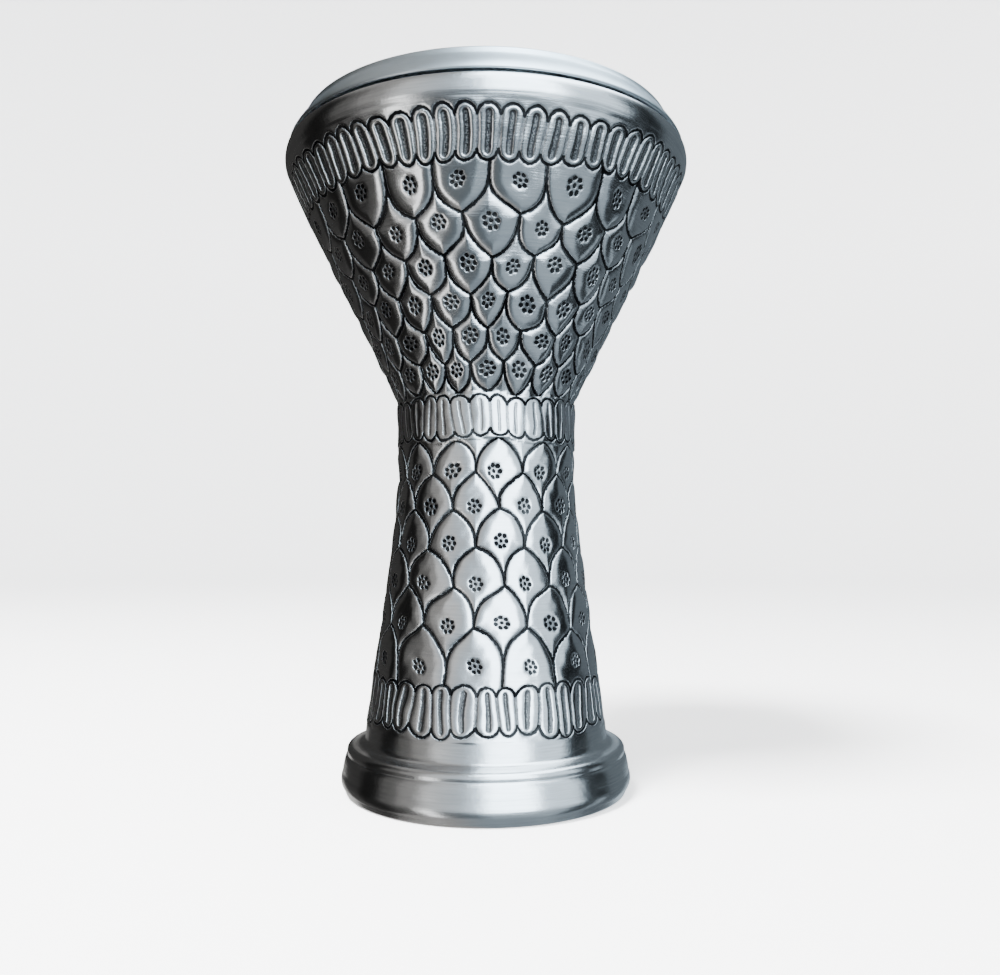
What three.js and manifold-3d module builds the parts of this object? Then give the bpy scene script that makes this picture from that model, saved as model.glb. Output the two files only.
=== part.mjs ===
// Darbuka: a cast-aluminium goblet drum whose film head is clamped by a ring and eight screws.
// Millimetres, +Z up, drum axis on Z, foot on Z = 0.
import * as THREE from 'three';
import { mergeVertices } from 'three/addons/utils/BufferGeometryUtils.js';
import Module from 'manifold-3d';

const wasm = await Module();
wasm.setup();

// ---------- driving dimensions ----------

const drumHeight = 440;
const wall = 4;                // thickness of the casting, measured across the drum
const clearance = 0.3;         // between pieces that bear on each other
const roundSteps = 48;         // facets round the drum
const screwSteps = 20;         // facets round a screw
const curveSteps = 6;          // pieces in each long curve of an outline
const cornerSteps = 3;         // pieces in each rounded corner

// The goblet's outer outline. Pulls are the points that a long curve bends towards, and a flare
// is the radius gained per millimetre of height.
const foot = { bottomRadius: 91.4, bulgeRadius: 95.2, bulgeHeight: 9, bulgeRise: 6 };
const crease = { aboveRadius: 90.8, belowRadius: 91.6, height: 25, depth: 0.6 };
const footTop = { rounding: 3.6, height: 31, innerRadius: 84.5, innerHeight: 31.4 };
const cove = { outerPull: [82, 32], innerPull: [80.3, 33] };
const stem = { bottomRadius: 80, bottom: 36, topRadius: 59.5, top: 205 };
const stemPulls = { low: { radius: 72.4, height: 98 }, high: { radius: 61.5, height: 165 } };
const neck = { topRadius: 60.5, top: 255 };
const bowl = { topRadius: 135.6, top: 411, pull: 52, flareAtNeck: 0.45, flareAtTop: 0.42 };
const shoulder = { radius: 133.5, height: 420, roundAcross: 2.3, roundBottom: 413 };

// The inside of the casting: it thickens under the collar and again at the foot.
const cavity = { footRadius: 84.4, footStep: 20, top: 383, topWall: 6, collarBottom: 398 };

// The head: a film over a rounded bearing collar, its skirt held in a hoop that drops into a groove.
const collar = { innerRadius: 101.5, outerRadius: 106.5, top: 435.3 };
const groove = { outerRadius: 112.5, floor: 404 };
const film = { thickness: 0.5, skirtRadius: 108.6, skirtEnd: 424.9, bendRadius: 104.8, bendHeight: 433.1 };
const hoop = { innerRadius: 106.9, outerRadius: 112, height: 10, slotInner: 107.7, slotOuter: 109.1 };
const hoopTop = 429.7;
const slotDepth = 8.5;

// The clamping ring and its screws (M5 socket cap, narrow washer).
const ringGap = 2.5;
const ring = { bottomRadius: 133, topRadius: 124, coneTop: 437.4, innerRadius: 110 };
const ringEdge = { bottomBevel: 1, outerRounding: 2, innerRounding: 1.2 };
const screwCount = 8;
const screwCircle = 116.8;
const screw = { shankRadius: 2.4, length: 30, headRadius: 4.25, headHeight: 5 };
const socket = { acrossFlats: 4, depth: 2.8 };
const screwHole = { radius: 2.75, floor: 401 };
const washer = { innerRadius: 2.7, outerRadius: 4.5, thickness: 1 };
const counterboreRadius = 4.8;
const headSunkBy = 0.5;

const ringBottom = shoulder.height + ringGap;
const headTop = drumHeight - headSunkBy;
const headBottom = headTop - screw.headHeight;
const washerTop = headBottom - clearance;
const washerBottom = washerTop - washer.thickness;
const counterboreFloor = washerBottom - clearance;

// ---------- helpers ----------

function material(name, color, metalness, roughness) {
  const made = new THREE.MeshStandardMaterial({ color, metalness, roughness });
  made.name = name;
  return made;
}

// Turns an outline of [radius, height] points, taken up the outside first, into a closed turned body.
function revolve(outline, steps = roundSteps) {
  const points = outline.map(([radius, height]) => new THREE.Vector2(radius, height));
  const last = points[points.length - 1];
  const onAxis = points[0].x === 0 && last.x === 0;
  if (!onAxis) {
    points.push(points[0].clone());
  }
  const geometry = new THREE.LatheGeometry(points, steps);
  geometry.rotateX(Math.PI / 2);
  return geometry;
}

// Points along a cubic curve between two outline points, without its start point.
function curve(start, startPull, endPull, end, steps = curveSteps) {
  const toVector = ([radius, height]) => new THREE.Vector2(radius, height);
  const path = new THREE.CubicBezierCurve(...[start, startPull, endPull, end].map(toVector));
  return path.getPoints(steps).slice(1).map((point) => [point.x, point.y]);
}

// Points round an elliptical corner about [radius, height] with half-axes [across, up], from one
// angle to another (degrees, 0 outwards, 90 up).
function corner([centreRadius, centreHeight], [across, up], fromDegrees, toDegrees, steps = cornerSteps) {
  const points = [];
  for (let step = 0; step <= steps; step += 1) {
    const degrees = fromDegrees + ((toDegrees - fromDegrees) * step) / steps;
    const angle = THREE.MathUtils.degToRad(degrees);
    points.push([centreRadius + across * Math.cos(angle), centreHeight + up * Math.sin(angle)]);
  }
  return points;
}

function toSolid(geometry) {
  const bare = geometry.clone();
  bare.deleteAttribute('normal');
  bare.deleteAttribute('uv');
  const merged = mergeVertices(bare, 1e-4);
  return new wasm.Manifold(
    new wasm.Mesh({
      numProp: 3,
      vertProperties: new Float32Array(merged.attributes.position.array),
      triVerts: new Uint32Array(merged.index.array),
    }),
  );
}

function toGeometry(solid) {
  const mesh = solid.getMesh();
  const geometry = new THREE.BufferGeometry();
  geometry.setAttribute('position', new THREE.BufferAttribute(new Float32Array(mesh.vertProperties), 3));
  geometry.setIndex(new THREE.BufferAttribute(new Uint32Array(mesh.triVerts), 1));
  geometry.computeVertexNormals();
  return geometry;
}

function uprightCylinder(radius, bottom, top, steps = screwSteps) {
  const geometry = new THREE.CylinderGeometry(radius, radius, top - bottom, steps);
  geometry.rotateX(Math.PI / 2);
  geometry.translate(0, 0, (top + bottom) / 2);
  return geometry;
}

function screwAngle(index) {
  return ((index + 0.5) / screwCount) * 2 * Math.PI;
}

// Moves a piece made on the drum's axis out to the place of one screw.
function atScrew(geometry, index) {
  const placed = geometry.clone();
  placed.translate(screwCircle, 0, 0);
  placed.rotateZ(screwAngle(index));
  return placed;
}

// Cuts the same tool out of a body at every screw.
function cutAtScrews(body, tool) {
  let solid = toSolid(body);
  for (let index = 0; index < screwCount; index += 1) {
    solid = solid.subtract(toSolid(atScrew(tool, index)));
  }
  return toGeometry(solid);
}

// ---------- outlines of the goblet ----------

// The stem's long curve, pulled in by an inset so that it serves the outside and the cavity.
function stemCurve(inset) {
  return curve(
    [stem.bottomRadius - inset, stem.bottom],
    [stemPulls.low.radius - inset, stemPulls.low.height],
    [stemPulls.high.radius - inset, stemPulls.high.height],
    [stem.topRadius - inset, stem.top],
  );
}

// The bowl's curve from the neck up to a height where its straight top flare takes over.
function bowlCurve(neckInset, topInset, top) {
  const radiusAt = (height) => bowl.topRadius - topInset - bowl.flareAtTop * (bowl.top - height);
  return curve(
    [neck.topRadius - neckInset, neck.top],
    [neck.topRadius - neckInset + bowl.flareAtNeck * bowl.pull, neck.top + bowl.pull],
    [radiusAt(top - bowl.pull), top - bowl.pull],
    [radiusAt(top), top],
  );
}

function outerOutline() {
  const stemFoot = [stem.bottomRadius, stem.bottom];
  const footTopInner = [footTop.innerRadius, footTop.innerHeight];
  const bulge = [foot.bulgeRadius - foot.bottomRadius, foot.bulgeRise];
  const { rounding } = footTop;
  const roundingCentre = [crease.aboveRadius - rounding, footTop.height - rounding];
  const shoulderCentre = [shoulder.radius, shoulder.roundBottom];
  const shoulderRound = [shoulder.roundAcross, shoulder.height - shoulder.roundBottom];
  return [
    [foot.bottomRadius, 0],
    ...corner([foot.bottomRadius, foot.bulgeHeight], bulge, -60, 40),
    [crease.belowRadius, crease.height - 1],
    [crease.aboveRadius - crease.depth, crease.height],
    [crease.aboveRadius, crease.height + 1],
    ...corner(roundingCentre, [rounding, rounding], 0, 80),
    footTopInner,
    ...curve(footTopInner, cove.outerPull, cove.innerPull, stemFoot, cornerSteps),
    ...stemCurve(0),
    [neck.topRadius, neck.top],
    ...bowlCurve(0, 0, bowl.top),
    ...corner(shoulderCentre, shoulderRound, 0, 90),
  ];
}

// The groove and the bearing collar, from the shoulder inwards.
function headSeatOutline() {
  const crownRadius = (collar.outerRadius - collar.innerRadius) / 2;
  const crownCentre = [collar.innerRadius + crownRadius, collar.top - crownRadius];
  return [
    [groove.outerRadius, shoulder.height],
    [groove.outerRadius, groove.floor],
    [collar.outerRadius, groove.floor],
    ...corner(crownCentre, [crownRadius, crownRadius], 0, 180, 2 * cornerSteps),
  ];
}

// The cavity, from the collar down to the open foot.
function cavityOutline() {
  const upwards = [
    ...stemCurve(wall),
    [neck.topRadius - wall, neck.top + 1],
    ...bowlCurve(wall, cavity.topWall, cavity.top),
  ];
  return [
    [collar.innerRadius, cavity.collarBottom],
    ...upwards.reverse(),
    [stem.bottomRadius - wall, stem.bottom - 3],
    [cavity.footRadius, cavity.footStep],
    [cavity.footRadius, 0],
  ];
}

// ---------- pieces ----------

function makeShell() {
  const body = revolve([...outerOutline(), ...headSeatOutline(), ...cavityOutline()]);
  const tappedHole = uprightCylinder(screwHole.radius, screwHole.floor, drumHeight);
  return cutAtScrews(body, tappedHole);
}

function makeTuningRing() {
  const { bottomBevel, outerRounding, innerRounding } = ringEdge;
  const outerRound = [outerRounding, drumHeight - ring.coneTop];
  const innerCentre = [ring.innerRadius + innerRounding, drumHeight - innerRounding];
  const lipBottom = hoopTop + clearance;
  const rebateRadius = hoop.outerRadius + clearance;
  const outline = [
    [ring.bottomRadius - bottomBevel, ringBottom],
    [ring.bottomRadius, ringBottom + bottomBevel],
    [ring.topRadius, ring.coneTop],
    ...corner([ring.topRadius - outerRounding, ring.coneTop], outerRound, 30, 90),
    ...corner(innerCentre, [innerRounding, innerRounding], 90, 180),
    [ring.innerRadius, lipBottom],
    [rebateRadius, lipBottom],
    [rebateRadius, ringBottom],
  ];
  const clearanceHole = uprightCylinder(screwHole.radius, ringBottom - 1, drumHeight);
  const counterbore = uprightCylinder(counterboreRadius, counterboreFloor, drumHeight + 1);
  const tool = toGeometry(toSolid(clearanceHole).add(toSolid(counterbore)));
  return cutAtScrews(revolve(outline), tool);
}

function makeHoop() {
  const bottom = hoopTop - hoop.height;
  const slotFloor = hoopTop - slotDepth;
  return revolve([
    [hoop.outerRadius, bottom],
    [hoop.outerRadius, hoopTop],
    [hoop.slotOuter, hoopTop],
    [hoop.slotOuter, slotFloor],
    [hoop.slotInner, slotFloor],
    [hoop.slotInner, hoopTop],
    [hoop.innerRadius, hoopTop],
    [hoop.innerRadius, bottom],
  ]);
}

// The film lies flat over the collar, bends over its crown and hangs down into the hoop's slot.
function makeFilm() {
  const underside = collar.top + clearance;
  const topside = underside + film.thickness;
  const innerSkirt = film.skirtRadius - film.thickness;
  const bend = [film.bendRadius, film.bendHeight];
  const outside = corner(bend, [film.skirtRadius - film.bendRadius, topside - film.bendHeight], 0, 90);
  const inside = corner(bend, [innerSkirt - film.bendRadius, underside - film.bendHeight], 90, 0);
  return revolve([
    [film.skirtRadius, film.skirtEnd],
    ...outside,
    [0, topside],
    [0, underside],
    ...inside,
    [innerSkirt, film.skirtEnd],
  ]);
}

function makeScrew() {
  const chamfer = 0.5;
  const socketFloor = headTop - socket.depth;
  const body = revolve(
    [
      [0, headBottom - screw.length],
      [screw.shankRadius - chamfer, headBottom - screw.length],
      [screw.shankRadius, headBottom - screw.length + chamfer],
      [screw.shankRadius, headBottom],
      [screw.headRadius, headBottom],
      [screw.headRadius, headTop - chamfer],
      [screw.headRadius - chamfer, headTop],
      [0, headTop],
    ],
    screwSteps,
  );
  const socketRadius = socket.acrossFlats / 2 / Math.cos(Math.PI / 6);
  const hexagon = uprightCylinder(socketRadius, socketFloor, headTop + 1, 6);
  return toGeometry(toSolid(body).subtract(toSolid(hexagon)));
}

function makeWasher() {
  return revolve(
    [
      [washer.outerRadius, washerBottom],
      [washer.outerRadius, washerTop],
      [washer.innerRadius, washerTop],
      [washer.innerRadius, washerBottom],
    ],
    screwSteps,
  );
}

// ---------- assembly ----------

const castAluminium = material('cast_aluminium', 0xa9a9ab, 0.9, 0.38);
const satinAluminium = material('satin_aluminium', 0xb9bdc2, 0.9, 0.3);
const rolledAluminium = material('rolled_aluminium', 0xc4c6c8, 0.9, 0.35);
const whiteFilm = material('white_film', 0xf0efe9, 0, 0.45);
const zincSteel = material('zinc_steel', 0x9b9da0, 0.9, 0.3);
const plainSteel = material('plain_steel', 0x8c8e91, 0.9, 0.4);

const drum = new THREE.Group();
drum.name = 'darbuka';

function addPiece(name, geometry, look) {
  const mesh = new THREE.Mesh(geometry, look.clone());
  mesh.name = name;
  drum.add(mesh);
}

addPiece('shell', makeShell(), castAluminium);
addPiece('tuning_ring', makeTuningRing(), satinAluminium);
addPiece('head_hoop', makeHoop(), rolledAluminium);
addPiece('drumhead_film', makeFilm(), whiteFilm);

const screwGeometry = makeScrew();
const washerGeometry = makeWasher();
for (let index = 0; index < screwCount; index += 1) {
  addPiece(`tuning_bolt_${index + 1}`, atScrew(screwGeometry, index), zincSteel);
  addPiece(`bolt_washer_${index + 1}`, atScrew(washerGeometry, index), plainSteel);
}

export default drum;
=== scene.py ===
"""The looks of the darbuka: a chiselled and polished cast-aluminium goblet drum.

The decoration is one set of formulas (see Decoration). The mesh code works them out with numpy for
the relief, and the shell's material works them out again as shader nodes for the fine dark lines.
Lengths in the outlines and the decoration are millimetres on the drum; MM turns them into metres.
"""

import math
from types import SimpleNamespace

import bmesh
import bpy
import numpy as np
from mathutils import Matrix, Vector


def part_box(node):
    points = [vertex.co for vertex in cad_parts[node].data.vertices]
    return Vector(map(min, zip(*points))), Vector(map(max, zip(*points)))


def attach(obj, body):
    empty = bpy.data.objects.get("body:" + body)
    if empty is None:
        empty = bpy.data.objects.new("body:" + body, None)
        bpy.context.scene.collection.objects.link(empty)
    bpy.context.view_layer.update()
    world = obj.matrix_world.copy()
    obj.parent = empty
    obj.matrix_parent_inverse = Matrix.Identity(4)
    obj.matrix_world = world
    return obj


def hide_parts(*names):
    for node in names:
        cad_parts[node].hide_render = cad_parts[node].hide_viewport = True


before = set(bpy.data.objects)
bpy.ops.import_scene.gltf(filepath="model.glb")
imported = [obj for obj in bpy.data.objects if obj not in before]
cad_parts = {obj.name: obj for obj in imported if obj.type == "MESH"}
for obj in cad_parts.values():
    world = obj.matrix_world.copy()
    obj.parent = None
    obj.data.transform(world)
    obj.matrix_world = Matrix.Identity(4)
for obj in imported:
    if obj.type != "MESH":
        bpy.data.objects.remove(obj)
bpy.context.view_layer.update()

MM = 0.001
TURN = 2 * math.pi

# ---- what the frame says ----


def measure(node):
    """A round node's bottom, top and radius, in millimetres."""
    low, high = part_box(node)
    return low.z / MM, high.z / MM, (high.x - low.x) / 2 / MM


def axis_of(node):
    """Where a round node's upright axis stands, in millimetres."""
    low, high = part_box(node)
    return (low.x + high.x) / 2 / MM, (low.y + high.y) / 2 / MM


_, crown_top, _ = measure("shell")
ring_bottom, ring_top, ring_radius = measure("tuning_ring")
film_end, film_top, film_radius = measure("drumhead_film")
hoop_bottom, hoop_top, hoop_radius = measure("head_hoop")
bolt_end, head_top, head_radius = measure("tuning_bolt_1")
washer_bottom, washer_top, washer_radius = measure("bolt_washer_1")
screw_circle = math.hypot(*axis_of("tuning_bolt_1"))

# ---- driving dimensions that the frame's boxes don't show ----

SCREWS = 8
CLEARANCE = 0.3  # between pieces that bear on each other
THICKNESS = 4  # of the casting, measured across the drum

# The goblet's long curves, as (radius, height): an end, the two points it bends towards, an end.
STEM_CURVE = ((80, 36), (72.4, 98), (61.5, 165), (59.5, 205))
NECK_TOP = (60.5, 255)
BOWL_CURVE = (NECK_TOP, (83.9, 307), (113.8, 359), (135.6, 411))
FOOT_TOP = 31
CREASE_RADIUS = 91.2  # where the foot's rim is undercut
SHOULDER = 420
SHOULDER_RADIUS = 133.3  # middle of the rounding between bowl and shoulder

# The head's seat, its hoop and the clamping ring.
COLLAR_INNER, COLLAR_OUTER = 101.5, 106.5
GROOVE_OUTER, GROOVE_FLOOR = 112.5, 404
HOOP_INNER = 106.9
HOOP_SLOT_INNER, HOOP_SLOT_OUTER, HOOP_SLOT_DEPTH = 107.7, 109.1, 8.5
FILM_THICKNESS, FILM_BEND_RADIUS, FILM_BEND = 0.5, 104.8, 3
RING_INNER, RING_REBATE = 110, 112.3  # inside of the ring's lip and of its skirt
CONE_PULL, CONE_TOP = 125.2, 124  # how the ring's cone bends, and its top radius

# M5 screws and their holes.
HOLE_RADIUS, HOLE_END, HOLE_TIP = 2.75, 401.5, 400.5
HEAD_BORE_RADIUS = 4.8
HEAD_HEIGHT = 5
SOCKET_APOTHEM, SOCKET_DEPTH = 2.0, 2.8
THREAD_MAJOR, THREAD_MINOR, THREAD_PITCH, THREAD_LENGTH = 2.45, 2.1, 0.8, 22
KNURL_DEPTH = 0.13
WASHER_INNER = 2.7

# How finely the meshes are cut.
SHELL_COLUMNS, RING_COLUMNS, HOOP_COLUMNS, FILM_COLUMNS = 800, 480, 256, 192
BOLT_COLUMNS, WASHER_COLUMNS = 96, 48
HOLE_CELLS = 3  # cells on each side of a screw hole's middle

# ---- outlines ----


def line_points(start, end, step):
    """Points from start to end, without end."""
    start, end = np.array(start, float), np.array(end, float)
    count = max(1, round(np.linalg.norm(end - start) / step))
    along = np.arange(count)[:, None] / count
    return start + (end - start) * along


def curve_points(start, start_pull, end_pull, end, step):
    """Evenly spaced points along a cubic curve, without its end."""
    corners = [np.array(p, float) for p in (start, start_pull, end_pull, end)]
    t = np.linspace(0, 1, 400)[:, None]
    weights = ((1 - t) ** 3, 3 * t * (1 - t) ** 2, 3 * t * t * (1 - t), t ** 3)
    fine = sum(w * c for w, c in zip(weights, corners))
    reach = np.concatenate([[0], np.cumsum(np.linalg.norm(np.diff(fine, axis=0), axis=1))])
    count = max(1, round(reach[-1] / step))
    wanted = np.arange(count) / count * reach[-1]
    return np.stack([np.interp(wanted, reach, fine[:, k]) for k in (0, 1)], axis=1)


def arc_points(centre, across, upward, start, end, count):
    """Points round part of an ellipse, both ends included. Angles in degrees, 0 outwards, 90 up."""
    angles = np.radians(np.linspace(start, end, count + 1))
    return np.stack([centre[0] + across * np.cos(angles), centre[1] + upward * np.sin(angles)], axis=1)


def smoothed(points):
    """Rounds the corners of an outline a little, keeping its two ends."""
    points[1:-1] = (points[:-2] + 2 * points[1:-1] + points[2:]) / 4
    return points


# ---- turned meshes ----


class Turned:
    """A body turned about Z from an outline of (radius, height) points, in millimetres.

    Column 0 is at the back of the drum and column columns / 2 faces the viewer. An outline that
    starts and ends off the axis is closed into a ring.
    """

    def __init__(self, outline, columns, axis=(0, 0)):
        self.outline = np.array(outline, float)
        self.columns = columns
        self.axis = axis
        self.capped = self.outline[0, 0] == 0 and self.outline[-1, 0] == 0  # solid at the axis
        self.column_turn = (np.arange(columns) / columns - 0.5) * TURN
        self.turn = np.repeat(self.column_turn[None, :], len(self.outline), axis=0)
        self.radius = np.repeat(self.outline[:, :1], columns, axis=1)
        self.height = np.repeat(self.outline[:, 1:], columns, axis=1)
        self.extra_points = []
        self.extra_faces = []
        self.open_cells = set()

    def add_point(self, position):
        self.extra_points.append(position)
        return len(self.outline) * self.columns + len(self.extra_points) - 1

    def positions(self):
        x = self.radius * np.sin(self.turn) + self.axis[0]
        y = -self.radius * np.cos(self.turn) + self.axis[1]
        grid = np.stack([x, y, self.height], axis=-1).reshape(-1, 3)
        if self.extra_points:
            grid = np.concatenate([grid, np.array(self.extra_points)])
        return grid

    def punch(self, number, row_from, radius):
        """Opens the cells where a screw hole goes, from one row on, and rounds their rim to a circle.

        Returns the rim's point numbers in order and the circle's centre.
        """
        middle = int((number + 0.5) * self.columns / SCREWS)
        column_from, column_to = middle - HOLE_CELLS, middle + HOLE_CELLS
        row_to = row_from + 2 * HOLE_CELLS
        for row in range(row_from, row_to):
            for column in range(column_from, column_to):
                self.open_cells.add((row, column))
        rim = [(row_from, c) for c in range(column_from, column_to)]
        rim += [(r, column_to) for r in range(row_from, row_to)]
        rim += [(row_to, c) for c in range(column_to, column_from, -1)]
        rim += [(r, column_from) for r in range(row_to, row_from, -1)]
        turn = self.column_turn[middle]
        centre = np.array([screw_circle * math.sin(turn), -screw_circle * math.cos(turn)])
        for row, column in rim:
            turn, reach = self.turn[row, column], self.radius[row, column]
            offset = np.array([reach * math.sin(turn), -reach * math.cos(turn)]) - centre
            place = centre + offset * radius / np.linalg.norm(offset)
            self.radius[row, column] = np.linalg.norm(place)
            self.turn[row, column] = math.atan2(place[0], -place[1])
        return [r * self.columns + c for r, c in rim], centre

    def ring_like(self, rim, centre, radius, height):
        """Adds a circle of points under or over a rim, matched to it point by point."""
        places = self.positions()[rim][:, :2] - centre
        places *= radius / np.linalg.norm(places, axis=1, keepdims=True)
        return [self.add_point([*(centre + place), height]) for place in places]

    def bridge(self, first, second):
        """Joins two circles of points that are in the same order with a band of faces."""
        for k in range(len(first)):
            following = (k + 1) % len(first)
            self.extra_faces.append((first[k], first[following], second[following], second[k]))

    def cap(self, rim, centre, height):
        """Closes a circle of points with a shallow cone."""
        middle = self.add_point([*centre, height])
        for k in range(len(rim)):
            self.extra_faces.append((rim[k], rim[(k + 1) % len(rim)], middle))

    def faces(self):
        """The grid's faces that weren't opened, and the column of each."""
        row_count = len(self.outline) - (1 if self.capped else 0)
        rows, columns = np.meshgrid(np.arange(row_count), np.arange(self.columns), indexing="ij")
        following = (columns + 1) % self.columns
        above = (rows + 1) % len(self.outline)
        corners = ((rows, columns), (rows, following), (above, following), (above, columns))
        quads = np.stack([row * self.columns + column for row, column in corners], axis=-1)
        keep = np.ones(quads.shape[:2], bool)
        for row, column in self.open_cells:
            keep[row, column] = False
        return quads[keep], columns[keep]

    def build(self, name, crease=180, uv=None):
        """Makes the mesh object, with crisp edges where it turns by more than crease, in degrees.

        uv, if given, is one pair per grid point for the map "pattern".
        """
        quads, columns = self.faces()
        points = self.positions() * MM
        faces = [tuple(q) for q in quads.tolist()] + self.extra_faces
        mesh = bpy.data.meshes.new(name)
        mesh.from_pydata(points.tolist(), [], faces)
        if uv is not None:
            flat = np.concatenate([uv.reshape(-1, 2), np.zeros((len(self.extra_points), 2))])
            corners = np.zeros(len(mesh.loops), np.int32)
            mesh.loops.foreach_get("vertex_index", corners)
            values = flat[corners]
            # The last column's faces reach round to column 0, where the turn counts as 1 and not 0.
            wrapped = np.zeros(len(mesh.loops), bool)
            wrapped[: len(quads) * 4] = np.repeat(columns == self.columns - 1, 4)
            values[wrapped & (corners % self.columns == 0), 0] += 1
            mesh.uv_layers.new(name="pattern").data.foreach_set("uv", values.astype(np.float32).ravel())
        if self.capped:
            merge_close(mesh)
        mesh.validate()
        mesh.shade_smooth()
        if crease < 180:
            mesh.set_sharp_from_angle(angle=math.radians(crease))
        return add_object(name, mesh)


def add_object(name, data):
    made = bpy.data.objects.new(name, data)
    bpy.context.scene.collection.objects.link(made)
    return made


def merge_close(mesh):
    """Joins the points that fall together where an outline meets the axis."""
    work = bmesh.new()
    work.from_mesh(mesh)
    bmesh.ops.remove_doubles(work, verts=work.verts, dist=1e-7)
    work.to_mesh(mesh)
    work.free()


# ---- the decoration's formulas, for arrays and for shader nodes ----


class ArrayMaths:
    """Plain arithmetic on numpy arrays."""

    floor = np.floor
    sqrt = np.sqrt
    cos = np.cos
    absolute = np.abs
    maximum = np.maximum
    minimum = np.minimum
    angle = np.arctan2

    @staticmethod
    def fract(value):
        return value - np.floor(value)

    @staticmethod
    def pick(value, limit, below, above):
        return np.where(value < limit, below, above)


def operation(name):
    """A function that adds the Math node of this name to a wire."""
    return lambda wire, *others: wire.math(name, *others)


class Wire:
    """A number in a material's node tree. Arithmetic on it adds Math nodes."""

    def __init__(self, tree, socket):
        self.tree = tree
        self.socket = socket

    def math(self, name, *others):
        node = self.tree.nodes.new("ShaderNodeMath")
        node.operation = name
        for socket, value in zip(node.inputs, (self, *others)):
            plug(self.tree, socket, value)
        return Wire(self.tree, node.outputs[0])

    def __rsub__(self, other):
        return self * -1 + other

    __add__ = operation("ADD")
    __sub__ = operation("SUBTRACT")
    __mul__ = operation("MULTIPLY")
    __rmul__ = __mul__
    __truediv__ = operation("DIVIDE")
    __pow__ = operation("POWER")


def plug(tree, socket, value):
    """Links a wire to a socket, or sets the socket to a number."""
    if isinstance(value, Wire):
        tree.links.new(value.socket, socket)
    else:
        socket.default_value = value


class WireMaths:
    """The same arithmetic on wires."""

    floor = operation("FLOOR")
    sqrt = operation("SQRT")
    cos = operation("COSINE")
    exp = operation("EXPONENT")
    fract = operation("FRACT")
    absolute = operation("ABSOLUTE")
    maximum = operation("MAXIMUM")
    minimum = operation("MINIMUM")
    angle = operation("ARCTAN2")

    @staticmethod
    def pick(value, limit, below, above):
        return (below - above) * value.math("LESS_THAN", limit) + above


def facing(count, turn):
    """The offset that puts the middle of one of count repeats at this angle from the front (radians)."""
    return 0.5 - (turn / TURN + 0.5) * count


def flute_band(bottom, top, count, front_turn, **cut):
    """A row of upright flutes round the drum between two heights.

    cut says how it is cut: depth is how deep the flutes are; slot is half the width of the slot down
    each flute; patina is how much of the black is left in its upright marks, from 0 to 1.
    """
    middle, half_height = (bottom + top) / 2, (top - bottom) / 2
    offset = facing(count, front_turn)
    return SimpleNamespace(middle=middle, half_height=half_height, count=count, offset=offset, **cut)


def scale_rows(count, front_turn, **cut):
    """Rows of pointed scales, each row longer than the last by growth.

    cut says how they are cut: row 0's tips are at first_tip; rosette is how far up its row a scale's
    rosette sits; bluntness is 1 for straight-sided tips.
    """
    return SimpleNamespace(count=count, offset=facing(count, front_turn), **cut)


BANDS = (
    flute_band(47, 77, count=36, front_turn=0.0, depth=0.8, slot=0.8, patina=0.9),
    flute_band(226.5, 253, count=33, front_turn=-0.04, depth=0.3, slot=0.3, patina=0.5),
    flute_band(376.5, 402.5, count=62, front_turn=0.031, depth=1.1, slot=1.25, patina=1.0),
)
STEM_SCALES = scale_rows(
    count=13, front_turn=0.15, first_tip=225, far_end=68, step=20.6, growth=0.42,
    rosette=0.92, bluntness=2.5,
)
BOWL_SCALES = scale_rows(
    count=22, front_turn=-0.242, first_tip=254, far_end=392, step=16.8, growth=0.48,
    rosette=0.8, bluntness=3.2,
)
# Heights where one band's or field's numbers give way to the next's.
ABOVE_LOWER_BAND, ABOVE_NECK_BAND = 150, 315
ABOVE_STEM_SCALES = 240
LAST_ROW = 5  # the scales' rows are numbered 0 to 5
FAR = 100  # stands for no outline within reach
SLOT_MARGIN = 3.3  # from a slot's end to its flute's end
ROSETTE_RADIUS, ROSETTE_PETALS = 3.5, 7


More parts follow.
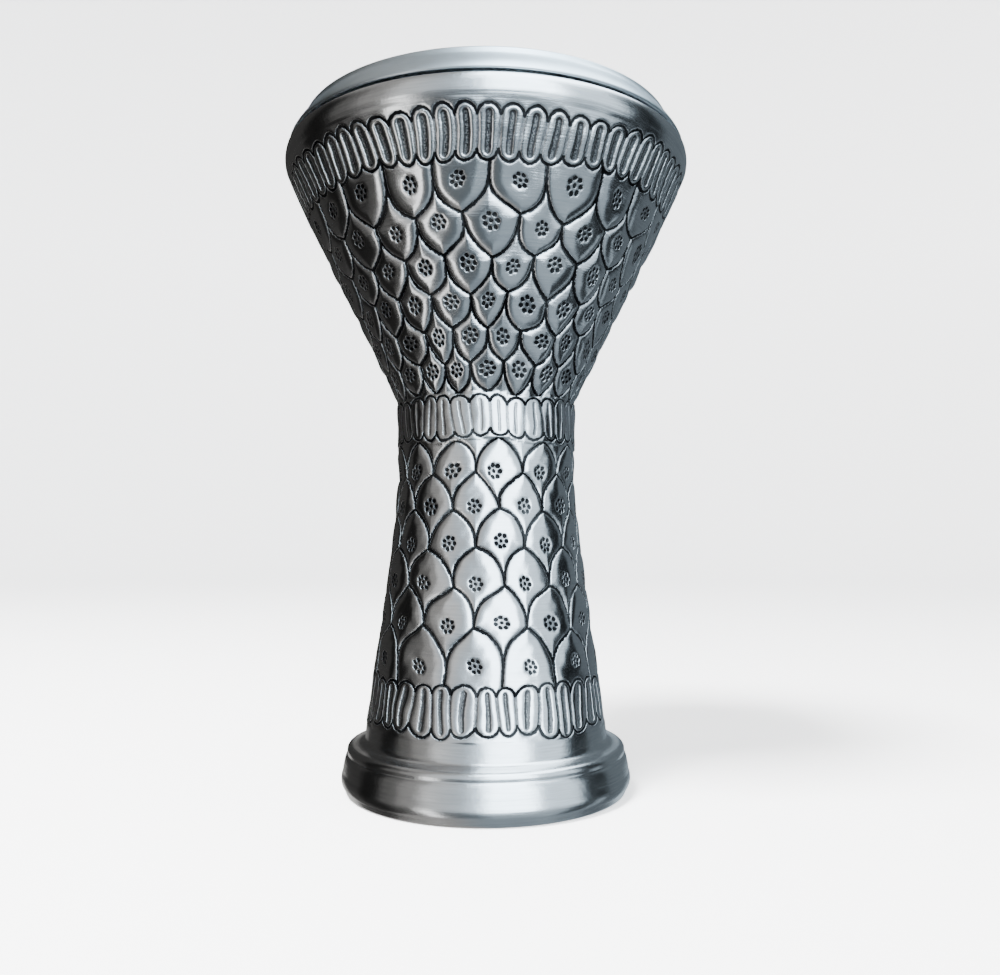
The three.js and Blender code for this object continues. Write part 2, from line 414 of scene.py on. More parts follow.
class Decoration:
    """What the chiselled pattern is at points given by their turn (0 to 1), height and radius.

    Every length is in millimetres:
    edge: distance past the outline of the scale whose tip is nearest, negative inside it.
    from_outline: distance from any scale's outline.
    from_tip: how far up its row a point is, from 0 at the tips to 1.
    flute: distance past the nearest flute's outline, negative inside it.
    half_pitch: half a flute's width; past_straight: how far past the straight part of its sides.
    flute_depth and patina: the band's own depth and patina.
    from_slot: distance from the line that runs down a flute's slot; slot: half the slot's width.
    rosette: distance from the rosette's centre; dot: distance from its nearest punched dot.
    """

    def __init__(self, m, turns, height, radius):
        self.m = m
        self.height = height
        self.measure_flutes(turns, height, radius)
        self.measure_scales(turns, height, radius)

    def measure_flutes(self, turns, height, radius):
        m = self.m

        def of_band(name):
            lower, neck, upper = (getattr(band, name) for band in BANDS)
            upper_two = m.pick(height, ABOVE_NECK_BAND, neck, upper)
            return m.pick(height, ABOVE_LOWER_BAND, lower, upper_two)

        count = of_band("count")
        self.half_pitch = radius * math.pi / count
        across = (m.fract(turns * count + of_band("offset")) - 0.5) * 2 * self.half_pitch
        up = m.absolute(height - of_band("middle"))
        spine = of_band("half_height") - self.half_pitch
        self.past_straight = m.maximum(up - spine, 0)
        self.slot = of_band("slot")
        slot_end = m.maximum(up - of_band("half_height") + self.slot + SLOT_MARGIN, 0)
        from_spine = m.sqrt(across * across + self.past_straight * self.past_straight)
        self.from_slot = m.sqrt(across * across + slot_end * slot_end)
        self.flute = from_spine - self.half_pitch
        self.flute_depth = of_band("depth")
        self.patina = of_band("patina")

    def measure_scales(self, turns, height, radius):
        m = self.m

        def of_field(name):
            return m.pick(height, ABOVE_STEM_SCALES, getattr(STEM_SCALES, name), getattr(BOWL_SCALES, name))

        below_tip = height * -1 + STEM_SCALES.first_tip
        above_tip = height - BOWL_SCALES.first_tip
        self.past_first_tip = m.pick(height, ABOVE_STEM_SCALES, below_tip, above_tip)
        along = m.maximum(self.past_first_tip, 0)
        step, growth = of_field("step"), of_field("growth")
        rows = (m.sqrt(step * step + along * growth * 4) - step) / (growth * 2)
        row_height = step + growth * rows * 2
        half_pitch = radius * math.pi / of_field("count")
        cell = m.minimum(m.floor(rows), LAST_ROW)
        from_tip = m.minimum(rows - cell, 1)
        sweep = turns * of_field("count") + of_field("offset")
        across = m.absolute(m.fract(sweep + cell * 0.5) * 2 - 1)
        narrowing = from_tip * -1 + 1
        bluntness = of_field("bluntness")
        half_width = (narrowing ** bluntness) * -1 + 1
        steepness = (narrowing ** (bluntness - 1)) * bluntness / row_height
        slant = m.sqrt(steepness * steepness + (half_pitch * half_pitch) ** -1)
        self.edge = (across - half_width) / slant
        opening = half_pitch * bluntness / row_height
        across_to_next_tip = (across * -1 + narrowing * bluntness + 1) * half_pitch
        from_next_tip = across_to_next_tip / m.sqrt(opening * opening + 1)
        from_next_tip = m.pick(rows, LAST_ROW, from_next_tip, FAR)
        self.from_outline = m.minimum(m.absolute(self.edge), from_next_tip)
        self.from_tip = from_tip
        self.measure_rosette(m, rows, row_height, half_pitch, sweep, of_field("rosette"))

    def measure_rosette(self, m, rows, row_height, half_pitch, sweep, place):
        cell = m.maximum(m.minimum(m.floor(rows - place + 0.5), LAST_ROW), 0)
        across = (m.fract(sweep + cell * 0.5) - 0.5) * 2 * half_pitch
        up = (rows - cell - place) * row_height
        squared = across * across + up * up
        self.rosette = m.sqrt(squared)
        sector = m.fract(m.angle(up, across) * (ROSETTE_PETALS / TURN) + 0.5) - 0.5
        swing = m.cos(sector * (TURN / ROSETTE_PETALS))
        reach = squared + ROSETTE_RADIUS ** 2 - self.rosette * swing * (2 * ROSETTE_RADIUS)
        self.dot = m.sqrt(m.maximum(reach, 0))

    def in_scales(self):
        """1 where the surface carries scales, 0 elsewhere."""
        m = self.m
        low, high = STEM_SCALES.far_end, BOWL_SCALES.far_end
        inside_ends = m.pick(self.height, low, 0.0, 1.0) * m.pick(self.height, high, 1.0, 0.0)
        past_tips = m.pick(self.past_first_tip, 0.0, 0.0, 1.0)
        outside_flutes = m.pick(self.flute, 0.0, 0.0, 1.0)
        return inside_ends * past_tips * outside_flutes


# ---- hand-made unevenness ----


# Each is a seed, the size of the humps across the drum and how far they reach, in millimetres.
SWAY, LIFT = (3, 42, 1.25), (4, 38, 1.0)
HAMMERING, PEENING = (5, 27, 0.20), (6, 11, 0.05)
UNEVEN_WAVES = 14
USUAL_RADIUS = 90


def uneven(turns, height, seed, size, amount):
    """A smooth random field round the drum, with humps about size millimetres across."""
    random = np.random.default_rng(seed)
    field = np.zeros(np.broadcast(turns, height).shape)
    rounds_most = int(TURN * USUAL_RADIUS / size)
    for _ in range(UNEVEN_WAVES):
        rounds = random.integers(-rounds_most, rounds_most + 1)
        climb = random.uniform(-1, 1) * TURN / size
        start = random.uniform(0, TURN)
        field += np.sin(rounds * turns * TURN + climb * height + start)
    return field * amount / math.sqrt(UNEVEN_WAVES / 2)


# ---- the shell ----

RELIEF_FROM, RELIEF_TO = 44.5, 406  # the heights between which the casting is decorated
BOWL_FROM = 250
STEM_PILLOW, BOWL_PILLOW, PILLOW_WIDTH = 0.75, 1.3, 8.0
BEVEL_DEPTH, BEVEL_WIDTH = 0.5, 1.1
SCALE_OVERLAP = 0.4  # how far a scale's tip stands over the next row
LINE_DEPTH, LINE_HALF_WIDTH = 0.45, 0.75
DISH_RADIUS, DISH_DEPTH = 6.6, 0.6
DOT_DEPTH, DOT_RADIUS = 0.45, 1.0
RIDGE_ROUNDNESS = 0.6  # 1 is a round ridge beside a slot; less has a flatter top
TOUCHING = 0.001  # keeps a division away from 0


def relief(pattern):
    """How far the chiselled surface stands out from the outline, in millimetres, so never above 0."""
    past_slot = np.maximum(pattern.from_slot - pattern.slot, 0)
    inside_flute = np.maximum(-pattern.flute, TOUCHING)
    across_ridge = past_slot / (past_slot + inside_flute)
    ridge = np.clip(4 * across_ridge * (1 - across_ridge), 0, 1) ** RIDGE_ROUNDNESS
    flute_relief = pattern.flute_depth * (ridge - 1)

    distance = pattern.from_outline
    pillow = np.where(pattern.height < BOWL_FROM, STEM_PILLOW, BOWL_PILLOW)
    swell = -pillow * np.clip(1 - distance / PILLOW_WIDTH, 0, 1) ** 2
    swell -= BEVEL_DEPTH * np.exp(-distance / BEVEL_WIDTH)
    tip_side = pattern.edge < 0
    lift = np.where(tip_side, 1 - pattern.from_tip / 2, (1 - pattern.from_tip) / 2)
    overlap = SCALE_OVERLAP * (lift - 1)
    line = -LINE_DEPTH * np.exp(-((distance / LINE_HALF_WIDTH) ** 2))
    in_dish = np.clip(1 - pattern.rosette / DISH_RADIUS, 0, 1)
    dish = -DISH_DEPTH * in_dish * in_dish * (3 - 2 * in_dish)
    dots = -DOT_DEPTH * np.exp(-((pattern.dot / DOT_RADIUS) ** 2))
    scale_relief = swell + overlap + line + dish + dots

    scallop_line = -LINE_DEPTH * np.exp(-((pattern.flute / LINE_HALF_WIDTH) ** 2))
    plain = np.where(pattern.in_scales() > 0.5, scale_relief, 0) + scallop_line
    return np.where(pattern.flute < 0, flute_relief, plain)


def goblet_outline():
    """The outer outline from the foot's edge to the shoulder."""
    carved, foot_top, plain = 0.85, 0.9, 1.6  # spacing of the points
    parts = [
        arc_points((90.2, 3.4), 2.6, 3.4, -90, -40, 4),
        arc_points((90.6, 9.6), 4.6, 6.8, -55, 40, 10),
        line_points((94.2, 15.2), (92.6, 23.6), plain),
        [[92.3, 24.3], [91.5, 24.7], [CREASE_RADIUS, 25.1], [91.4, 25.6]],
        arc_points((87.8, 27.4), 3.7, 3.6, -12, 82, 8),
        line_points((86.6, FOOT_TOP + 0.1), (84.8, FOOT_TOP + 0.4), foot_top),
        curve_points((84.0, FOOT_TOP + 0.5), (81.6, 31.9), (80.3, 33.2), STEM_CURVE[0], foot_top),
        curve_points(*STEM_CURVE, carved),
        line_points(STEM_CURVE[-1], NECK_TOP, carved),
        curve_points(*BOWL_CURVE, carved),
        arc_points((SHOULDER_RADIUS, SHOULDER - 7), 2.3, 7, 0, 90, 8),
    ]
    return smoothed(np.concatenate(parts))


def rows_beside_hole(columns):
    """Radii of the rows of points that a screw hole takes up, one column's width apart."""
    cell = TURN * screw_circle / columns
    return [screw_circle + (HOLE_CELLS - k) * cell for k in range(2 * HOLE_CELLS + 1)]


def row_at(outline, radius, height):
    """The number of the outline's point at this radius and height."""
    return int(np.argmin(np.hypot(outline[:, 0] - radius, outline[:, 1] - height)))


def head_seat_outline():
    """The shoulder, the hoop's groove and the bearing collar, going inwards."""
    beside_hole = rows_beside_hole(SHELL_COLUMNS)
    crown_radius = (COLLAR_OUTER - COLLAR_INNER) / 2
    crown_middle = (COLLAR_INNER + crown_radius, crown_top - crown_radius)
    parts = [
        line_points((SHOULDER_RADIUS - 1.8, SHOULDER), (beside_hole[0], SHOULDER), 3),
        [[radius, SHOULDER] for radius in beside_hole],
        line_points((GROOVE_OUTER, SHOULDER), (GROOVE_OUTER, GROOVE_FLOOR), 5),
        [[GROOVE_OUTER, GROOVE_FLOOR], [COLLAR_OUTER, GROOVE_FLOOR]],
        line_points((COLLAR_OUTER, GROOVE_FLOOR + 4), (COLLAR_OUTER, crown_top - 4), 8),
        arc_points(crown_middle, crown_radius, crown_radius, 0, 180, 12),
    ]
    return np.concatenate(parts)


def cavity_outline():
    """The cavity's wall from the collar down to the open foot."""
    step = 6
    stem = [(radius - THICKNESS, height) for radius, height in STEM_CURVE]
    stem[0] = (stem[0][0], 33)
    neck_top, bowl_pull = [(radius - THICKNESS, height + 1) for radius, height in BOWL_CURVE[:2]]
    upwards = [
        curve_points(*stem, step),
        line_points(stem[-1], neck_top, step),
        curve_points(neck_top, bowl_pull, (101.5, 342), (117.8, 382), step),
        arc_points((110.5, 384), 7.4, 6, 0, 60, 4),
        [[106, 393.6], [COLLAR_INNER, 398]],
    ]
    foot = [[84.4, 20], [84.4, 3], [85, 1], [86.2, 0]]
    return np.concatenate([np.concatenate(upwards)[::-1], foot])


def make_shell():
    outer = goblet_outline()
    body = Turned(np.concatenate([outer, head_seat_outline(), cavity_outline()]), SHELL_COLUMNS)

    turns = (np.arange(SHELL_COLUMNS) / SHELL_COLUMNS)[None, :]
    height = body.height
    pattern_turns = turns + uneven(turns, height, *SWAY) / (TURN * body.radius)
    pattern_height = height + uneven(turns, height, *LIFT)
    pattern = Decoration(ArrayMaths, pattern_turns, pattern_height, body.radius)

    depth = relief(pattern)
    outside = (np.arange(len(height)) < len(outer))[:, None]
    decorated = outside & (height > RELIEF_FROM) & (height < RELIEF_TO)
    hammering = uneven(turns, height, *HAMMERING) + uneven(turns, height, *PEENING)
    depth = np.where(decorated, depth + hammering, 0)
    ahead = np.roll(body.outline, -1, axis=0) - np.roll(body.outline, 1, axis=0)
    outwards = np.stack([ahead[:, 1], -ahead[:, 0]], axis=1)
    outwards /= np.linalg.norm(outwards, axis=1, keepdims=True)
    body.radius = body.radius + depth * outwards[:, :1]
    body.height = body.height + depth * outwards[:, 1:]

    hole_row = row_at(body.outline, rows_beside_hole(SHELL_COLUMNS)[0], SHOULDER)
    for number in range(SCREWS):
        rim, centre = body.punch(number, hole_row, HOLE_RADIUS)
        bottom = body.ring_like(rim, centre, HOLE_RADIUS, HOLE_END)
        body.bridge(rim, bottom)
        body.cap(bottom, centre, HOLE_TIP)
    uv = np.stack([pattern_turns, pattern_height * MM], axis=-1)
    return body.build("shell_visual", uv=uv)


# ---- the head, its ring and its screws ----


def make_ring():
    """The clamping ring, with a counterbored hole for every screw."""
    lip_bottom = hoop_top + CLEARANCE
    beside_hole = rows_beside_hole(RING_COLUMNS)
    cone = (
        (ring_radius - 0.3, ring_bottom + 2),
        (ring_radius - 2.6, ring_bottom + 7),
        (CONE_PULL, ring_top - 6),
        (CONE_TOP, ring_top - 2.8),
    )
    top_rows = [[radius, ring_top] for radius in beside_hole]
    bottom_rows = [[radius, ring_bottom] for radius in beside_hole[::-1]]
    rim_radius = 1.0
    parts = [
        [[ring_radius - 3, ring_bottom], [ring_radius - 1.2, ring_bottom]],
        arc_points((ring_radius - 1.1, ring_bottom + 1.1), 1.1, 1.1, -70, 15, 6),
        curve_points(*cone, 1.2),
        arc_points((CONE_TOP - 1.9, ring_top - 2.2), 1.9, 2.2, 10, 80, 7),
        top_rows,
        arc_points((RING_INNER + rim_radius, ring_top - rim_radius), rim_radius, rim_radius, 90, 180, 6),
        line_points((RING_INNER, ring_top - 2), (RING_INNER, lip_bottom + 1), 3),
        [[RING_INNER, lip_bottom + 0.4], [RING_INNER + 0.4, lip_bottom]],
        [[RING_REBATE, lip_bottom], [RING_REBATE, ring_bottom + 0.5]],
        bottom_rows,
    ]
    outline = np.concatenate(parts)
    body = Turned(outline, RING_COLUMNS)
    top_row = row_at(outline, beside_hole[0], ring_top)
    bottom_row = row_at(outline, beside_hole[-1], ring_bottom)
    bore_floor = washer_bottom - CLEARANCE
    for number in range(SCREWS):
        mouth, centre = body.punch(number, top_row, HEAD_BORE_RADIUS + 0.2)
        wall_top = body.ring_like(mouth, centre, HEAD_BORE_RADIUS, ring_top - 0.25)
        wall_end = body.ring_like(mouth, centre, HEAD_BORE_RADIUS, bore_floor)
        step = body.ring_like(mouth, centre, HOLE_RADIUS, bore_floor)
        outlet, _ = body.punch(number, bottom_row, HOLE_RADIUS)
        for first, second in ((mouth, wall_top), (wall_top, wall_end), (wall_end, step)):
            body.bridge(first, second)
        # The outlet's rim is listed the other way round from the mouth's.
        body.bridge(step, match_order(body, step, outlet))
    return body.build("tuning_ring_visual", crease=34)


def match_order(body, first, second):
    """The second circle's points in the order that puts each one under the first circle's."""
    places = body.positions()
    return [min(second, key=lambda n: float(np.sum((places[n][:2] - places[f][:2]) ** 2))) for f in first]


def make_hoop():
    """The hoop in its groove, with the slot that holds the film's skirt."""
    slot_floor = hoop_top - HOOP_SLOT_DEPTH
    edge, lip = 0.4, 0.2
    outline = [
        [hoop_radius - edge, hoop_bottom], [hoop_radius, hoop_bottom + edge],
        [hoop_radius, hoop_top - edge], [hoop_radius - edge, hoop_top],
        [HOOP_SLOT_OUTER + lip, hoop_top], [HOOP_SLOT_OUTER, hoop_top - lip],
        [HOOP_SLOT_OUTER, slot_floor], [HOOP_SLOT_INNER, slot_floor],
        [HOOP_SLOT_INNER, hoop_top - lip], [HOOP_SLOT_INNER - lip, hoop_top],
        [HOOP_INNER + lip, hoop_top], [HOOP_INNER, hoop_top - lip],
        [HOOP_INNER, hoop_bottom + edge], [HOOP_INNER + edge, hoop_bottom],
    ]
    return Turned(outline, HOOP_COLUMNS).build("head_hoop_visual", crease=34)


def make_film():
    """The film, flat over the collar and bent down into its skirt."""
    bend_middle = (FILM_BEND_RADIUS, film_top - FILM_BEND)
    flat_radius = FILM_BEND_RADIUS - FILM_BEND
    underside = film_top - FILM_THICKNESS
    skirt_inner = film_radius - FILM_THICKNESS
    outer_reach, inner_reach = film_radius - FILM_BEND_RADIUS, skirt_inner - FILM_BEND_RADIUS
    parts = [
        line_points((film_radius, film_end), (film_radius, bend_middle[1]), 2),
        arc_points(bend_middle, outer_reach, FILM_BEND, 0, 90, 12),
        line_points((flat_radius, film_top), (0, film_top), 4),
        [[0, film_top], [0, underside]],
        line_points((4, underside), (flat_radius, underside), 8),
        arc_points(bend_middle, inner_reach, FILM_BEND - FILM_THICKNESS, 90, 0, 12),
        line_points((skirt_inner, bend_middle[1] - 1), (skirt_inner, film_end), 2),
        [[skirt_inner, film_end]],
    ]
    outline = np.concatenate(parts)
    # A capped body's outline starts and ends on the axis.
    top_middle = int(np.argmax(outline[:, 0] == 0))
    outline = np.roll(outline, -top_middle - 1, axis=0)
    return Turned(outline, FILM_COLUMNS).build("drumhead_film_visual", crease=40)


def make_bolt(place):
    """A socket cap screw: knurled head, hexagon socket, threaded shank."""
    head_bottom = head_top - HEAD_HEIGHT
    socket_floor = head_top - SOCKET_DEPTH
    thread_start, thread_end = bolt_end + 0.9, bolt_end + THREAD_LENGTH
    shank = THREAD_MAJOR - 0.05
    corner = SOCKET_APOTHEM / math.cos(math.pi / 6)
    head_edge = 0.8
    parts = [
        [[0, bolt_end], [1.4, bolt_end], [THREAD_MINOR - 0.1, bolt_end + 0.5]],
        line_points((THREAD_MAJOR, thread_start), (THREAD_MAJOR, thread_end), THREAD_PITCH / 6),
        [[shank, thread_end + 0.3], [shank, head_bottom - 0.3]],
        [[THREAD_MAJOR, head_bottom], [head_radius - 0.3, head_bottom]],
        [[head_radius, head_bottom + 0.3]],
        line_points((head_radius, head_bottom + 0.6), (head_radius, head_top - 1), 0.6),
        arc_points((head_radius - head_edge, head_top - head_edge), head_edge, head_edge, 0, 90, 6),
        [[2.75, head_top], [2.55, head_top - 0.05]],
        [[corner, head_top - 0.3], [corner, socket_floor]],
        [[1.2, socket_floor - 0.35], [0, socket_floor - 0.9]],
    ]
    body = Turned(np.concatenate(parts), BOLT_COLUMNS, axis=place)

    threaded = (body.height > thread_start - 0.1) & (body.height < thread_end + 0.1) & (body.radius > 2)
    saw = np.abs((body.height / THREAD_PITCH - body.turn / TURN) % 1 * 2 - 1)
    thread = THREAD_MINOR + (THREAD_MAJOR - THREAD_MINOR) * saw
    body.radius = np.where(threaded, thread, body.radius)
    knurled = (body.height > head_bottom + 0.5) & (body.height < head_top - 0.9) & (body.radius > 4)
    knurl = KNURL_DEPTH * np.abs(np.sin(body.turn * BOLT_COLUMNS / 6))
    body.radius = np.where(knurled, body.radius - knurl, body.radius)

    # The outline's last five rows are the socket: its chamfer, mouth, floor, drill cone and axis.
    chamfer, mouth, floor, cone = (len(body.outline) - k for k in (5, 4, 3, 2))
    hexagon = SOCKET_APOTHEM / np.cos(body.column_turn % (TURN / 6) - TURN / 12)
    body.radius[chamfer] = np.maximum(hexagon + 0.12, 2.4)
    body.radius[[mouth, floor]] = hexagon
    body.radius[cone] = hexagon * 0.55
    return body


def make_washer(place):
    """A narrow washer, rounded like a stamped one: more on top than below."""
    edge = 0.12
    outline = [
        [washer_radius - edge, washer_bottom], [washer_radius, washer_bottom + edge],
        [washer_radius, washer_top - 2 * edge], [washer_radius - 2 * edge, washer_top],
        [WASHER_INNER + edge, washer_top], [WASHER_INNER, washer_top - edge],
        [WASHER_INNER, washer_bottom + edge], [WASHER_INNER + edge, washer_bottom],
    ]
    return Turned(outline, WASHER_COLUMNS, axis=place)


# ---- materials ----


class Graph:
    """Helpers that add nodes to a material's or the world's node tree."""

    def __init__(self, tree):
        self.tree = tree

    def node(self, kind, **settings):
        made = self.tree.nodes.new(kind)
        for name, value in settings.items():
            setattr(made, name, value)
        return made

    def wire(self, socket):
        return Wire(self.tree, socket)

    def coordinate(self, name):
        return self.node("ShaderNodeTexCoord").outputs[name]

    def split(self, vector):
        made = self.node("ShaderNodeSeparateXYZ")
        self.tree.links.new(vector, made.inputs[0])
        return [self.wire(made.outputs[k]) for k in range(3)]

    def stretched(self, vector, scale):
        """The vector with each part multiplied, to stretch a texture."""
        made = self.node("ShaderNodeVectorMath", operation="MULTIPLY")
        self.tree.links.new(vector, made.inputs[0])
        made.inputs[1].default_value = scale
        return made.outputs[0]

    def noise(self, vector, scale, detail=4.0, roughness=0.55):
        made = self.node("ShaderNodeTexNoise")
        self.tree.links.new(vector, made.inputs["Vector"])
        made.inputs["Scale"].default_value = scale
        made.inputs["Detail"].default_value = detail
        made.inputs["Roughness"].default_value = roughness
        return self.wire(made.outputs["Fac"])

    def fade(self, value, start, end):
        """0 below start, 1 above end, smooth between. start may be more than end."""
        made = self.node("ShaderNodeMapRange", interpolation_type="SMOOTHSTEP")
        low, high = min(start, end), max(start, end)
        for socket, number in zip(made.inputs, (value, low, high)):
            plug(self.tree, socket, number)
        made.inputs["To Min"].default_value = 0 if start < end else 1
        made.inputs["To Max"].default_value = 1 if start < end else 0
        return self.wire(made.outputs[0])

    def mix(self, factor, first, second):
        """A colour between first and second. Each is a colour or a colour wire."""
        made = self.node("ShaderNodeMix", data_type="RGBA")
        plug(self.tree, made.inputs[0], factor)
        for socket, colour in ((made.inputs[6], first), (made.inputs[7], second)):
            plug(self.tree, socket, colour if isinstance(colour, Wire) else (*colour, 1))
        return self.wire(made.outputs[2])


class Paint(Graph):
    """Builds one procedural material out of wires."""

    def __init__(self, name):
        self.material = bpy.data.materials.new(name)
        self.material.use_nodes = True
        super().__init__(self.material.node_tree)
        self.shader = self.tree.nodes["Principled BSDF"]

    def bump(self, height, distance, strength=1.0, under=None):
        made = self.node("ShaderNodeBump")
        made.inputs["Strength"].default_value = strength
        made.inputs["Distance"].default_value = distance
        plug(self.tree, made.inputs["Height"], height)
        if under is not None:
            plug(self.tree, made.inputs["Normal"], under)
        return self.wire(made.outputs["Normal"])

    def set(self, **values):
        """Sets or links the shader's inputs. base_color stands for "Base Color", and so on."""
        for name, value in values.items():
            plug(self.tree, self.shader.inputs[name.replace("_", " ").title()], value)


# Noise scales are humps per metre. Bump distances are metres. Colours are linear.
FLAT, POINTED = 0.5, 0.56  # the Pointiness of a flat face and of a worn edge


def edge_wear(paint):
    """1 on convex edges and corners, from how pointed the mesh is."""
    pointed = paint.wire(paint.node("ShaderNodeNewGeometry").outputs["Pointiness"])
    return paint.fade(pointed, FLAT, POINTED)


BESIDE_BAND = 1.6  # how far past a band its marks still reach, in millimetres
CAST_DULL, CAST_BRIGHT, CAST_WORN = (0.66, 0.66, 0.665), (0.76, 0.76, 0.755), (0.86, 0.86, 0.85)
# The fifth colour darkens the metal beside the marks: partly soot, partly painted shade on the groove
# walls.
CAST_STREAK, SOOT_AND_SHADE, BLACK = (0.50, 0.51, 0.53), (0.06, 0.06, 0.065), (0.006, 0.006, 0.007)
CAST_ROUGHNESS, BLACK_ROUGHNESS = 0.09, 0.65


def distance_from_axis(paint, position):
    x, y, _ = paint.split(position)
    return WireMaths.sqrt(x * x + y * y) / MM


def band_zone(pattern):
    """1 at heights within or just beside a band of flutes, 0 elsewhere."""
    m = pattern.m
    away = [m.absolute(pattern.height - band.middle) - band.half_height for band in BANDS]
    return m.pick(m.minimum(m.minimum(away[0], away[1]), away[2]), BESIDE_BAND, 1.0, 0.0)


def patina(paint, position, pattern):
    """Where black is left in the marks, where soot and painted shade darken the metal beside them, and
    where the marks are.
    """
    m = pattern.m
    ragged = paint.noise(position, 480, 3, 0.65) - 0.5
    patchy = paint.noise(position, 45, 3)
    heavy = paint.fade(patchy, 0.3, 0.72)
    stipple = paint.fade(paint.noise(position, 1300, 2), 0.42, 0.58)
    scales = pattern.in_scales()
    bands = band_zone(pattern)
    in_flute = m.pick(pattern.flute, 0.0, 1.0, 0.0)

    # Each mark fades out between two distances from its middle, in millimetres.
    line = paint.fade(pattern.from_outline + ragged * 2.2, 1.08, 0.62) * scales
    from_scallop = m.absolute(pattern.flute)
    upright = (stipple * 0.35 + 0.3) * pattern.patina
    end_or_upright = m.pick(pattern.past_straight, 0.6, upright, 1.0)
    scallop = paint.fade(from_scallop + ragged * 1.8, 1.05, 0.62) * bands * end_or_upright
    past_slot = pattern.from_slot - pattern.slot
    slot_edge = paint.fade(m.absolute(past_slot) + ragged * 1.2, 0.85, 0.35)
    slot_fill = paint.fade(past_slot, 0.3, -0.2) * (stipple * 0.3 + 0.68)
    slot = m.maximum(slot_edge * 0.92, slot_fill) * in_flute * bands * pattern.patina
    dots = paint.fade(pattern.dot + ragged * 1.4, 1.5, 0.95)
    centre_dot = paint.fade(pattern.rosette + ragged * 1.2, 1.3, 0.8)
    marks = m.maximum(dots, centre_dot) * scales
    dish = paint.fade(pattern.rosette + ragged * 2.2, 5.8, 3.4)
    stained_dish = dish * scales * (heavy * 0.6 + 0.2)

    black = m.maximum(m.maximum(line, scallop), marks)
    black = m.maximum(black, slot) * (heavy * 0.1 + 0.9)
    # The darkening beside the lines and scallops is partly soot and partly painted shade on the groove
    # walls.
    beside_line = m.exp(pattern.from_outline * -0.85) * scales
    beside_scallop = m.exp(from_scallop * -1.0) * bands
    soot_and_shade = m.maximum(beside_line, beside_scallop * 0.8) * (heavy * 0.45 + 0.45)
    soot_and_shade = m.minimum(soot_and_shade + stained_dish, 0.9)
    carved = m.maximum(m.maximum(line, scallop), m.maximum(marks, slot))
    return black, soot_and_shade, carved


def shell_material():
    """Polished cast aluminium with black patina left in every chisel mark, and soot and painted shade
    beside the marks.
    """
    paint = Paint("antiqued_cast_aluminium")
    position = paint.coordinate("Object")
    radius = distance_from_axis(paint, position)
    uv = paint.node("ShaderNodeUVMap", uv_map="pattern").outputs[0]
    turns, height, _ = paint.split(uv)
    height = height / MM
    pattern = Decoration(WireMaths, turns, height, radius)
    black, soot_and_shade, carved = patina(paint, position, pattern)

    tone = paint.noise(position, 16, 4)
    streaks = paint.noise(paint.stretched(position, (9, 9, 260)), 4, 5)
    bright = paint.mix(paint.fade(tone, 0.3, 0.7), CAST_DULL, CAST_BRIGHT)
    bright = paint.mix(paint.fade(streaks, 0.35, 0.75) * 0.4, bright, CAST_STREAK)
    # Darkens the metal beside the marks: partly soot, partly painted shade.
    grimy_and_shaded = paint.mix(soot_and_shade, bright, SOOT_AND_SHADE)
    worn = paint.mix(edge_wear(paint) * 0.5, grimy_and_shaded, CAST_WORN)
    colour = paint.mix(black, worn, BLACK)

    # The plain foot and rim are turned on a lathe, which leaves marks that run round the drum.
    turned = WireMaths.maximum(paint.fade(height, 46, 40), paint.fade(height, 403, 408))
    polish = paint.noise(position, 70, 5)
    roughness = polish * 0.12 + streaks * 0.08 + soot_and_shade * 0.30 + turned * 0.04 + CAST_ROUGHNESS
    roughness = roughness * (black * -1 + 1) + black * BLACK_ROUGHNESS
    paint.set(base_color=colour, metallic=1.0, roughness=roughness)
    paint.set(anisotropic=turned * 0.4 + 0.15, anisotropic_rotation=0.25)
    tangent = paint.node("ShaderNodeTangent", direction_type="RADIAL", axis="Z")
    paint.set(tangent=paint.wire(tangent.outputs[0]))

    turning = paint.bump(streaks, 0.00022, 0.4)
    peened = paint.bump(paint.noise(position, 230, 3), 0.00025, 0.25, turning)
    paint.set(normal=paint.bump(carved * -1, 0.0006, 0.6, peened))
    return paint.material


def turned_metal(name, light, dark, roughness, grain):
    """Machined metal with fine marks that run round the axis. grain is how close the marks are."""
    paint = Paint(name)
    position = paint.coordinate("Object")
    marks = paint.noise(paint.stretched(position, (6, 6, grain)), 5, 6)
    tone = paint.noise(position, 22, 4)
    colour = paint.mix(paint.fade(tone, 0.3, 0.7), dark, light)
    colour = paint.mix(paint.fade(marks, 0.4, 0.8) * 0.25, colour, tuple(c * 0.75 for c in dark))
    brighter = tuple(min(1, c * 1.25) for c in light)
    colour = paint.mix(edge_wear(paint) * 0.5, colour, brighter)
    smudge = paint.noise(position, 60, 3)
    paint.set(base_color=colour, metallic=1.0, roughness=marks * 0.12 + smudge * 0.10 + roughness)
    paint.set(normal=paint.bump(marks, 0.00015, 0.3, paint.bump(smudge, 0.0003, 0.12)))
    return paint.material


FILM_DULL, FILM_BRIGHT = (0.36, 0.36, 0.35), (0.46, 0.46, 0.45)
FILM_HANDLED, FILM_WORN = (0.27, 0.26, 0.24), (0.58, 0.58, 0.57)


